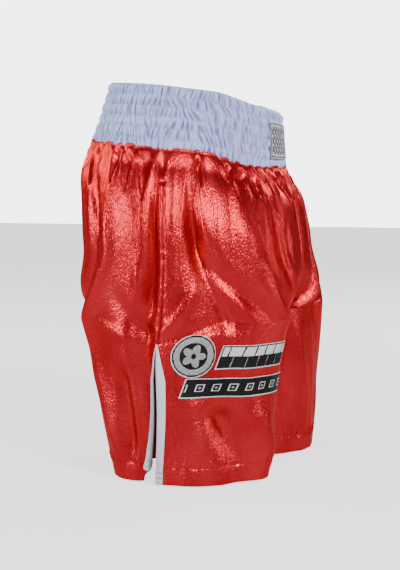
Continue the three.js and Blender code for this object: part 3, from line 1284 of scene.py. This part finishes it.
class Waistband:
    """The shirred band, its elastics and its front label."""

    def __init__(self) -> None:
        """Plans the band."""
        self.sizes = WaistbandSizes()

    def build(self) -> None:
        """Makes the casing and dresses the elastics inside it."""
        s = self.sizes
        angle = np.linspace(0, 2 * math.pi, s.columns, endpoint=False)[None, :]
        rows = s.channels * s.rows_per_channel + 1
        level = np.linspace(0, s.channels, rows)[:, None]
        z = FORM.seam_z + FORM.band_height * level / s.channels
        around = angle * BAND_RADIUS
        channel = np.abs(np.sin(math.pi * level))
        swell = s.bulge * channel**0.7 - s.pinch * (1 - channel) ** 3
        rng = np.random.default_rng(5)
        out = np.zeros((rows, s.columns)) + swell
        ruffled = np.zeros((rows, s.columns))
        for k in range(s.channels):
            wave = Noise(300 + k % 2, s.ruffle_spacing, 9.0)
            weight = 0.35 + 0.65 * bump(level, k + 0.5, 0.42)
            weight = weight * (np.abs(level - k - 0.5) <= 0.5)
            row_z = FORM.seam_z + FORM.band_height * (k + 0.5) / s.channels
            lean = 0.35 * Noise(320 + k, 60.0)(around, 0 * around) + 0.1
            shifted = around + rng.uniform(0, 1.5) + lean * (z - row_z)
            ruffled += weight * np.clip(wave(shifted, z), -1.7, 1.7)
        out += s.ruffle * ruffled
        out += 0.5 * Noise(400, 60.0, 1.0)(around, z)
        top = smoothstep(level, s.channels - 0.25, s.channels)
        out = out * (1 - top) - 1.0 * top
        outer = FORM.band(angle + 0 * z, z + 0 * angle, out)
        inner_out = -s.wall - 0.6 * channel + 0.35 * Noise(401, 6.0, 6.0)(around, z)
        inner_out = inner_out * (1 - top) - s.top_wall * top
        inner = FORM.band(angle + 0 * z, z + 0 * angle, inner_out)
        obj = closed_ring("waistband", outer, inner)
        # the ruffle height goes to the shader, which paints shade in the valleys and highlight on
        # the crests
        lay_flat(obj, around, z, ruffled)
        dress(obj, PALE_SATIN_PAINTED_SHADE.build())
        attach(obj, "hips")
        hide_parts("waistband_casing")
        self.stitches(angle)
        self.label()
        self.elastics(ELASTIC.build())

    def elastics(self, braid: bpy.types.Material) -> None:
        """Makes the six braided elastics inside the channels.

        Args:
            braid: Their material.
        """
        s = self.sizes
        angle = np.linspace(0, 2 * math.pi, s.elastic_columns, endpoint=False)[None, :]
        for k in range(s.channels):
            level = np.linspace(k + s.elastic_margin, k + 1 - s.elastic_margin, 5)[:, None]
            z = FORM.seam_z + FORM.band_height * level / s.channels + 0 * angle
            outer = FORM.band(angle + 0 * z, z, np.full(z.shape, s.elastic_outer))
            inner = FORM.band(angle + 0 * z, z, np.full(z.shape, s.elastic_inner))
            obj = closed_ring(f"elastic_{k + 1}", outer, inner)
            lay_flat(obj, angle * BAND_RADIUS, z)
            dress(obj, braid)
            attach(obj, "hips")
            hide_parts(f"waist_elastic_{k + 1}")

    def stitches(self, angle: Array) -> None:
        """Sews the rows between the channels.

        Args:
            angle: Places round the band.
        """
        s = self.sizes
        rows = Stitching("waistband_stitches", 0.22)
        for k in range(1, s.channels):
            z = np.full(angle.shape, FORM.seam_z + FORM.band_height * k / s.channels)
            line = FORM.band(angle, z, np.full(angle.shape, 0.25 - s.pinch))[0]
            normal = np.stack([np.cos(angle[0]), np.sin(angle[0]), 0 * angle[0]], axis=-1)
            rows.row(line, normal, 2.4, 0.9)
        obj = rows.build(SEAM_THREAD.build())
        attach(obj, "hips")

    def label(self) -> None:
        """Makes the woven label on the front, with a border and a lattice of diamonds."""
        s = self.sizes
        u, v = np.meshgrid(np.linspace(-1, 1, s.label_columns), np.linspace(0, 1, s.label_rows))
        x, y = u * s.label_half_width, v * s.label_height
        angle = -math.pi / 2 + x / FORM.band_top.half_width
        z = FORM.seam_z + s.label_above_seam + y
        edge = np.minimum(s.label_half_width - np.abs(x), np.minimum(y, s.label_height - y))
        across, up = np.mod(x / s.diamond[0], 1.0), np.mod(y / s.diamond[1], 1.0)
        lattice = np.abs(across - 0.5) + np.abs(up - 0.5)
        border = (edge > 1.0) & (edge < 2.2)
        dark = border | (np.abs(lattice - 0.5) < 0.14) & (edge > 5.0)
        outer = FORM.band(angle, z, s.label_lift + 0.25 * ~dark)
        inner = FORM.band(angle, z, np.full(z.shape, s.label_back))
        obj = closed_sheet("woven_label", outer, inner)
        lay_flat(obj, x, y)
        dress(obj, LABEL_WEAVE.build(), BLACK_THREAD.build())
        choose_threads(obj, dark[:-1, :-1])
        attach(obj, "hips")
        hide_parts("front_label")


# ------------------------------------------------------------------ thread


class Stitching:
    """Rows of short raised stitches gathered into one mesh."""

    PROFILE = ((-0.5, 0.25), (-0.3, 0.9), (0.0, 1.0), (0.3, 0.9), (0.5, 0.25))
    SIDES = 6

    def __init__(self, name: str, radius: float = 0.28) -> None:
        """Starts an empty mesh.

        Args:
            name: Object name.
            radius: Half the thread's thickness, in millimetres.
        """
        self.name = name
        self.radius = radius
        self.verts: list[Array] = []
        self.faces: list[tuple[int, ...]] = []
        self.count = 0

    def row(self, line: Array, normal: Array, length: float = 2.6, gap: float = 0.7) -> None:
        """Adds stitches along a line.

        Args:
            line: Points along the row, in millimetres.
            normal: Outward unit normals at those points.
            length: Length of one stitch.
            gap: Gap between stitches.
        """
        step = np.linalg.norm(np.diff(line, axis=0), axis=1)
        run = np.concatenate([[0], np.cumsum(step)])
        total = int(run[-1] / (length + gap))
        if total < 1:
            return
        mid = (np.arange(total) + 0.5) * run[-1] / total

        def along(values: Array, at: Array) -> Array:
            """Values interpolated along the row."""
            return np.stack([np.interp(at, run, values[:, k]) for k in range(3)], axis=-1)

        profile, sides = self.PROFILE, self.SIDES
        ring_angles = np.linspace(0, 2 * math.pi, sides, endpoint=False)
        n = along(normal, mid)
        tangent = along(line, mid + 0.3) - along(line, mid - 0.3)
        tangent /= np.maximum(np.linalg.norm(tangent, axis=-1, keepdims=True), TINY)
        across = np.cross(tangent, n)
        across /= np.maximum(np.linalg.norm(across, axis=-1, keepdims=True), TINY)
        up = np.cross(across, tangent)
        rings = []
        for shift, size in profile:
            centre = along(line, mid + shift * length) + up * (self.radius * 0.5 * size)
            for a in ring_angles:
                offset = across * math.cos(a) + up * math.sin(a)
                rings.append(centre + offset * self.radius * size)
        verts = np.stack(rings, axis=1)
        quads = grid_faces(len(profile), sides, 0, True)
        for i in range(total):
            base = self.count
            self.verts.append(verts[i])
            self.faces.extend(tuple(int(v) + base for v in q) for q in quads)
            last = base + (len(profile) - 1) * sides
            self.faces.append(tuple(base + k for k in range(sides))[::-1])
            self.faces.append(tuple(last + k for k in range(sides)))
            self.count += len(profile) * sides

    def build(self, material: bpy.types.Material) -> bpy.types.Object:
        """Makes the mesh of all rows.

        Args:
            material: The thread.

        Returns:
            The object.
        """
        verts = np.concatenate(self.verts)
        obj = mesh_object(self.name, verts, self.faces)
        lay_flat(obj, *verts.T, faces=1)
        dress(obj, material)
        return obj


# ------------------------------------------------------------------ vents


@dataclass(frozen=True)
class VentSizes:
    """Bound side vent, in millimetres."""

    width: float = 12.0
    top: float = 159.5
    taper: float = 42.0
    front_width: float = 10.0
    back_width: Table = ((0, 6.6), (20, 6.6), (50, 5.0), (90, 3.8), (160, 3.6))
    back_end: float = 11.0
    roll: float = 4.0
    rows: int = 90
    lift: float = 0.55
    thickness: float = 0.45
    turn_in: float = 15.0
    front_flat: tuple[float, float] = (0.030, 0.160)
    back_flat: tuple[float, float] = (0.024, 0.150)
    tack_low: float = 160.6
    tack_high: float = 164.0
    tack_half_width: float = 5.0


class Vent:
    """The two satin facings of one side vent, their stitching and the bartack."""

    def __init__(self, side: Side, panels: dict[tuple[Side, Face], SatinPanel]) -> None:
        """Keeps the panels whose edges the facings bind.

        Args:
            side: Which leg.
            panels: The four satin panels.
        """
        self.side = side
        self.panels = panels
        self.sizes = VentSizes()

    def facing(self, face: Face, white: bpy.types.Material) -> bpy.types.Object:
        """One folded strip that wraps the vent edge of a panel.

        Args:
            face: Which edge of the vent.
            white: The strip's material.

        Returns:
            The object.
        """
        s = self.sizes
        panel = self.panels[self.side, face]
        foot = 0.2 if face is Face.FRONT else s.back_end
        z = foot + (s.top - foot) * np.linspace(0, 1, s.rows)[:, None] ** 0.9
        opening = panel.start(z) * LEG_HALF_ROUND
        outside = [(s.width, 0.15), (s.width - 0.5, 1.0), (8, 1.0), (4, 1.0), (1.0, 1.0)]
        outside += [(-0.1, 0.9), (-0.6, 0.2)]
        inside = [(-0.6, -1.0), (-0.1, -1.8), (1.0, -2.0), (5, -2.0), (10, -2.0)]
        inside += [(s.turn_in, -2.0)]
        path = np.array(outside + inside)
        visible = np.arange(len(path))[None, :] < len(outside)
        tapered = np.clip((s.top - z) / s.taper, 0.02, 1) ** 0.85
        share = np.where(visible, self.width_at(face, z) / s.width, tapered)
        across = opening + path[None, :, 0] * share
        lift = s.lift * path[None, :, 1] + 0 * z
        tuck = 1.0 * bump(path[None, :, 0], s.width - 1.4, 0.8) * 0.25
        turn = across / LEG_HALF_ROUND
        outer = panel.surface(turn, z + 0 * turn, lift - tuck)
        normal = normals_of(outer)
        sign = self.side.value * face.value
        inner = outer - sign * normal * s.thickness
        obj = closed_sheet(f"{self.side.label}_{face.label}_facing", outer, inner, sign < 0)
        lay_flat(obj, across, z)
        dress(obj, white)
        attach(obj, self.side.leg)
        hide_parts(f"{self.side.label}_{face.label}_vent_binding")
        under = f"{self.side.label}_{face.label}_panel"
        return obj

    def width_at(self, face: Face, z: Array) -> Array:
        """Width of a facing, narrowing to a point at the head of the vent.

        Args:
            face: Which edge of the vent.
            z: Nominal height.

        Returns:
            The width in millimetres.
        """
        s = self.sizes
        tapered = np.clip((s.top - z) / s.taper, 0.02, 1) ** 0.85
        if face is Face.FRONT:
            return s.front_width * tapered
        heights, widths = zip(*s.back_width, strict=True)
        rounded = np.clip(1 - (z - s.back_end) / s.roll, 0, 1)
        return np.interp(z, heights, widths) * tapered * np.sqrt(1.02 - rounded**2)

    def line(
        self, face: Face, round_mm: float, low: float, high: float, extra: float
    ) -> tuple[Array, Array]:
        """A row beside the vent edge.

        Args:
            face: Which edge of the vent.
            round_mm: Distance from the edge.
            low: Height of the row's foot.
            high: Height of its head.
            extra: Distance outside the cloth.

        Returns:
            Points and outward normals.
        """
        panel = self.panels[self.side, face]
        z = np.linspace(low, high, 160)[:, None]
        turn = panel.start(z) + (round_mm + np.array([[-0.4, 0.0, 0.4]])) / LEG_HALF_ROUND
        grid = panel.surface(turn, z + 0 * turn, extra)
        normal = normals_of(grid) * self.side.value * face.value
        return grid[:, 1], normal[:, 1]

    def build(
        self, white: bpy.types.Material, pale: bpy.types.Material, red: bpy.types.Material
    ) -> None:
        """Makes the facings and their threads.

        Args:
            white: The facings' satin.
            pale: Thread of the long rows.
            red: Thread of the bartacks.
        """
        for face in Face:
            self.facing(face, white)
        rows = Stitching(f"{self.side.label}_facing_stitches", 0.3)
        rows.row(*self.line(Face.FRONT, 6.2, 1.5, self.sizes.top - 24, self.sizes.lift + 0.1))
        rows.row(*self.line(Face.FRONT, 1.4, 1.5, self.sizes.top - 8, self.sizes.lift + 0.1))
        obj = rows.build(pale)
        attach(obj, self.side.leg)
        self.bartacks(red)

    def bartacks(self, red: bpy.types.Material) -> None:
        """Dense stitches at the head of the vent and at the foot of each facing.

        Args:
            red: The thread.
        """
        s = self.sizes
        tack = Stitching(f"{self.side.label}_bartack", 0.32)
        front = self.panels[self.side, Face.FRONT]
        back = self.panels[self.side, Face.BACK]
        for level in np.linspace(s.tack_low, s.tack_high, 8):
            z = np.full((3, 9), level) + np.array([[-0.5], [0.0], [0.5]])
            around = np.linspace(0.0, s.tack_half_width, 9)[None, :] / LEG_HALF_ROUND + 0 * z
            f = front.surface(around, z, 0.4)[1]
            b = back.surface(around, z, 0.4)[1]
            line = np.concatenate([b[::-1], f[1:]])
            out = np.zeros(line.shape)
            out[:, 0] = self.side.value
            tack.row(line, out, 9.0, 0.4)
        feet = (
            (Face.FRONT, (7.0, 8.0, 13.0, 14.0), 10.0),
            (Face.BACK, (17.0, 18.0, 22.5, 23.5), 5.4),
        )
        for face, levels, wide in feet:
            panel = self.panels[self.side, face]
            for level in levels:
                z = np.full((3, 12), level) + np.array([[-0.5], [0.0], [0.5]])
                around = panel.start(z) + np.linspace(0.6, wide, 12)[None, :] / LEG_HALF_ROUND
                grid = panel.surface(around, z, s.lift + 0.25)
                normal = normals_of(grid) * self.side.value * face.value
                tack.row(grid[1], normal[1], 2.0, 0.3)
        obj = tack.build(red)
        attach(obj, self.side.leg)
        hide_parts(f"{self.side.label}_vent_bartack")


# ------------------------------------------------------------------ emblem


class Pattern(Enum):
    """Motifs of the emblem's pieces."""

    ROSETTE = 0
    TWO_TONE = 1
    OUTLINED = 2


class Tone(Enum):
    """Threads of the emblem, in the order of the pieces' material slots."""

    BLACK = 0
    GREY = 1
    PALE = 2


@dataclass(frozen=True)
class Applique:
    """One embroidered piece on the right leg, in millimetres."""

    PITCH = 0.7
    BLOCK = 15.0
    FRAME = 19.0
    SLANT = 0.3
    RELIEF = (0.25, 0.85, 0.55)
    name: str
    width: float
    height: float
    from_vent: float
    z: float
    lean: float = 0.0
    pattern: Pattern = Pattern.OUTLINED

    def grid(self) -> tuple[Array, Array]:
        """Cloth coordinates of the piece.

        Returns:
            Two grids that run from -1 to 1, across and up.
        """
        cols, rows = int(self.width / self.PITCH), int(self.height / self.PITCH)
        u, v = np.meshgrid(np.linspace(-1, 1, cols), np.linspace(-1, 1, rows))
        return u, v

    def place(self, u: Array, v: Array) -> tuple[Array, Array]:
        """Places of points of the piece on the leg.

        Args:
            u: Place across the piece, from -1 to 1.
            v: Place up the piece.

        Returns:
            Distance from the vent, and height.
        """
        if self.pattern is Pattern.ROSETTE:
            x, y = u * np.sqrt(1 - v * v / 2), v * np.sqrt(1 - u * u / 2)
            return self.from_vent + x * self.width / 2, self.z + y * self.height / 2
        x = self.from_vent + (u + 1) * self.width / 2 + v * self.lean / 2
        return x, self.z + v * self.height / 2

    def tones(self, u: Array, v: Array) -> Array:
        """Which thread lies at each point.

        Args:
            u: Place across the piece, from -1 to 1.
            v: Place up the piece.

        Returns:
            The value of a Tone at each point.
        """
        if self.pattern is Pattern.ROSETTE:
            x, y = u * np.sqrt(1 - v * v / 2), v * np.sqrt(1 - u * u / 2)
            r, angle = np.hypot(x, y), np.arctan2(y, x)
            tone = np.full(u.shape, Tone.BLACK.value)
            tone[r > 0.95] = Tone.PALE.value
            tone[(r > 0.62) & (r < 0.88)] = Tone.GREY.value
            petals = np.abs(np.cos(2.5 * angle)) * 0.28 + 0.26
            tone[r < petals] = Tone.GREY.value
            tone[r < 0.12] = Tone.BLACK.value
            return tone
        across = np.abs(u) * self.width / 2
        up = np.abs(v) * self.height / 2
        edge = np.minimum(self.width / 2 - across, self.height / 2 - up)
        x, y = self.place(u, v)
        if self.pattern is Pattern.TWO_TONE:
            stripe = np.mod((x - self.SLANT * (y - self.z)) / self.BLOCK, 1.0)
            tone = np.where(y > self.z + 0.5, Tone.PALE.value, Tone.BLACK.value)
            tone[(stripe < 0.12) | (np.abs(y - self.z) < 0.8)] = Tone.BLACK.value
            tone[(stripe > 0.50) & (stripe < 0.56) & (y < self.z)] = Tone.GREY.value
        else:
            stripe = np.abs(np.mod((x - self.SLANT * (y - self.z)) / self.FRAME, 1.0) - 0.5)
            tone = np.full(u.shape, Tone.BLACK.value)
            ring = np.maximum(stripe * self.FRAME / 6.2, np.abs(y - self.z) / 5.6)
            tone[(ring > 0.55) & (ring < 0.78)] = Tone.PALE.value
            tone[ring < 0.2] = Tone.GREY.value
        tone[edge < 2.6] = Tone.BLACK.value
        tone[edge < 1.3] = Tone.PALE.value
        return tone

    def build(self, panel: SatinPanel, materials: list[bpy.types.Material]) -> bpy.types.Object:
        """Makes the piece on the folded cloth of a panel.

        Args:
            panel: The panel.
            materials: The threads, in the order of Tone.

        Returns:
            The object.
        """
        u, v = self.grid()
        x, z = self.place(u, v)
        tone = self.tones(u, v)
        relief = np.array(self.RELIEF)[tone]
        for _ in range(2):
            beside = relief[:-2, 1:-1] + relief[2:, 1:-1] + relief[1:-1, :-2] + relief[1:-1, 2:]
            relief[1:-1, 1:-1] = (4 * relief[1:-1, 1:-1] + beside) / 8
        rim = np.minimum(1 - np.abs(u), 1 - np.abs(v)) * min(self.width, self.height) / 2
        relief = relief * smoothstep(rim, -0.3, 1.0)
        turn = x / LEG_HALF_ROUND
        outer = panel.surface(turn, z, 0.5 + relief)
        inner = panel.surface(turn, z, 0.05)
        obj = closed_sheet(self.name, outer, inner, panel.side.value * panel.face.value < 0)
        lay_flat(obj, x, z)
        dress(obj, *materials)
        choose_threads(obj, tone[:-1, :-1])
        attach(obj, panel.side.leg)
        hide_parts(self.name)
        return obj


class Emblem:
    """A plain geometric badge with two patterned bars on the right leg."""

    PIECES = (
        Applique("emblem_medallion", 46, 50, 39, 147, pattern=Pattern.ROSETTE),
        Applique("emblem_upper_bar", 96, 27, 66, 145, lean=7, pattern=Pattern.TWO_TONE),
        Applique("emblem_lower_bar", 140, 22, 29, 110.5, lean=7, pattern=Pattern.OUTLINED),
    )

    def build(self, panel: SatinPanel) -> None:
        """Makes the three pieces.

        Args:
            panel: The panel that they are sewn to.
        """
        threads = [BLACK_THREAD.build(), GREY_THREAD.build(), PALE_THREAD.build()]
        for piece in self.PIECES:
            piece.build(panel, threads)


# ------------------------------------------------------------------ stage


@dataclass(frozen=True)
class Softbox:
    """A square area light: place and size in metres, power in watts."""

    name: str
    place: Triple
    size: float
    power: float
    aim: Triple = (0.0, 0.0, 0.22)

    def build(self) -> None:
        """Adds the light, pointed at the garment."""
        light = bpy.data.lights.new(self.name, "AREA")
        light.size = self.size
        light.energy = self.power
        obj = bpy.data.objects.new(self.name, light)
        obj.location = self.place
        aim = Vector(self.aim) - Vector(self.place)
        obj.rotation_euler = aim.to_track_quat("-Z", "Y").to_euler()
        bpy.context.scene.collection.objects.link(obj)


@dataclass(frozen=True)
class Stage:
    """Floor, light and camera; the floor in millimetres, the camera in metres."""

    floor_half: float = 6000.0
    floor_z: float = -2.0
    floor_grey: float = 0.55
    floor_glow: tuple[float, float] = (0.12, 1.6)
    sky: Triple = (0.96, 0.97, 1.0)
    sky_strength: tuple[float, float] = (0.05, 5.0)
    lights: tuple[Softbox, ...] = (
        Softbox("key", (-1.7, -1.5, 1.7), 0.42, 78.0),
        Softbox("side", (-1.5, 1.5, 0.8), 0.3, 29.0),
        Softbox("front", (0.5, -2.3, 0.7), 0.3, 12.0),
        Softbox("rear", (0.6, 2.2, 1.2), 0.6, 34.0),
        Softbox("far", (2.2, -0.7, 1.2), 0.6, 30.0),
    )
    azimuth: float = -75.0
    distance: float = 2.0
    camera_z: float = 0.378
    target_z: float = 0.212
    lens: float = 103.0
    sensor: float = 36.0

    def build(self) -> None:
        """Makes the floor, the sky, the soft boxes and the camera."""
        self.floor()
        self.surroundings()
        for light in self.lights:
            light.build()
        self.camera()

    def floor(self) -> None:
        """Makes the pale floor, brighter to the eye than as a source of light."""
        far, z = self.floor_half, self.floor_z
        corners = np.array([[-far, -far, z], [far, -far, z], [far, far, z], [-far, far, z]])
        floor = mesh_object("floor", corners, [(0, 1, 2, 3)])
        nodes = Nodes("pale_floor")
        nodes.bsdf.inputs["Base Color"].default_value = (*[self.floor_grey] * 3, 1)
        nodes.bsdf.inputs["Roughness"].default_value = 0.8
        nodes.bsdf.inputs["Emission Color"].default_value = (1, 1, 1, 1)
        glow = self.seen_directly(nodes.tree, self.floor_glow)
        nodes.link(glow, nodes.bsdf.inputs["Emission Strength"])
        dress(floor, nodes.material)

    def surroundings(self) -> None:
        """Makes the white surroundings, dim as a source of light so that the satin shows folds."""
        world = bpy.data.worlds.new("studio")
        bpy.context.scene.world = world
        world.use_nodes = True
        background = world.node_tree.nodes["Background"]
        background.inputs[0].default_value = (*self.sky, 1)
        strength = self.seen_directly(world.node_tree, self.sky_strength)
        world.node_tree.links.new(strength, background.inputs[1])

    def seen_directly(self, tree: bpy.types.NodeTree, values: tuple[float, float]) -> Socket:
        """Adds nodes that give one value to light and another to the eye.

        Args:
            tree: Node tree of the floor or the surroundings.
            values: The value for light, and for what is seen directly.

        Returns:
            The value.
        """
        rays = tree.nodes.new("ShaderNodeLightPath")
        chosen = tree.nodes.new("ShaderNodeMapRange")
        chosen.inputs["To Min"].default_value, chosen.inputs["To Max"].default_value = values
        tree.links.new(rays.outputs["Is Camera Ray"], chosen.inputs["Value"])
        return chosen.outputs[0]

    def camera(self) -> None:
        """Places the camera at waist height, a little in front of the wearer's right side."""
        data = bpy.data.cameras.new("camera")
        data.lens = self.lens
        data.sensor_fit = "VERTICAL"
        data.sensor_height = self.sensor
        obj = bpy.data.objects.new("camera", data)
        azimuth = math.radians(self.azimuth)
        back = Vector((math.sin(azimuth), -math.cos(azimuth), 0.0))
        target = Vector((0.0, 0.0, self.target_z))
        place = back * self.distance + Vector((0, 0, self.camera_z))
        obj.location = place
        obj.rotation_euler = (target - place).to_track_quat("-Z", "Y").to_euler()
        bpy.context.scene.collection.objects.link(obj)
        bpy.context.scene.camera = obj


def report_piece(obj: bpy.types.Object) -> None:
    """Logs one piece's name and number of points."""
    log.info("%s: %d points", obj.name, len(obj.data.vertices))


def main() -> None:
    """Builds the stage and the whole garment, and reports each piece."""
    cad_names = {obj.name for obj in bpy.context.scene.objects}
    Stage().build()
    body = SatinBody()
    body.build()
    Waistband().build()
    white, pale, red = WHITE_SATIN.build(), SEAM_THREAD.build(), RED_THREAD.build()
    for side in Side:
        Vent(side, body.panels).build(white, pale, red)
    Emblem().build(body.panels[Side.RIGHT, Face.FRONT])
    for obj in bpy.context.scene.objects:
        if obj.type == "MESH" and obj.name not in cad_names:
            report_piece(obj)


if __name__ == "__main__":
    main()
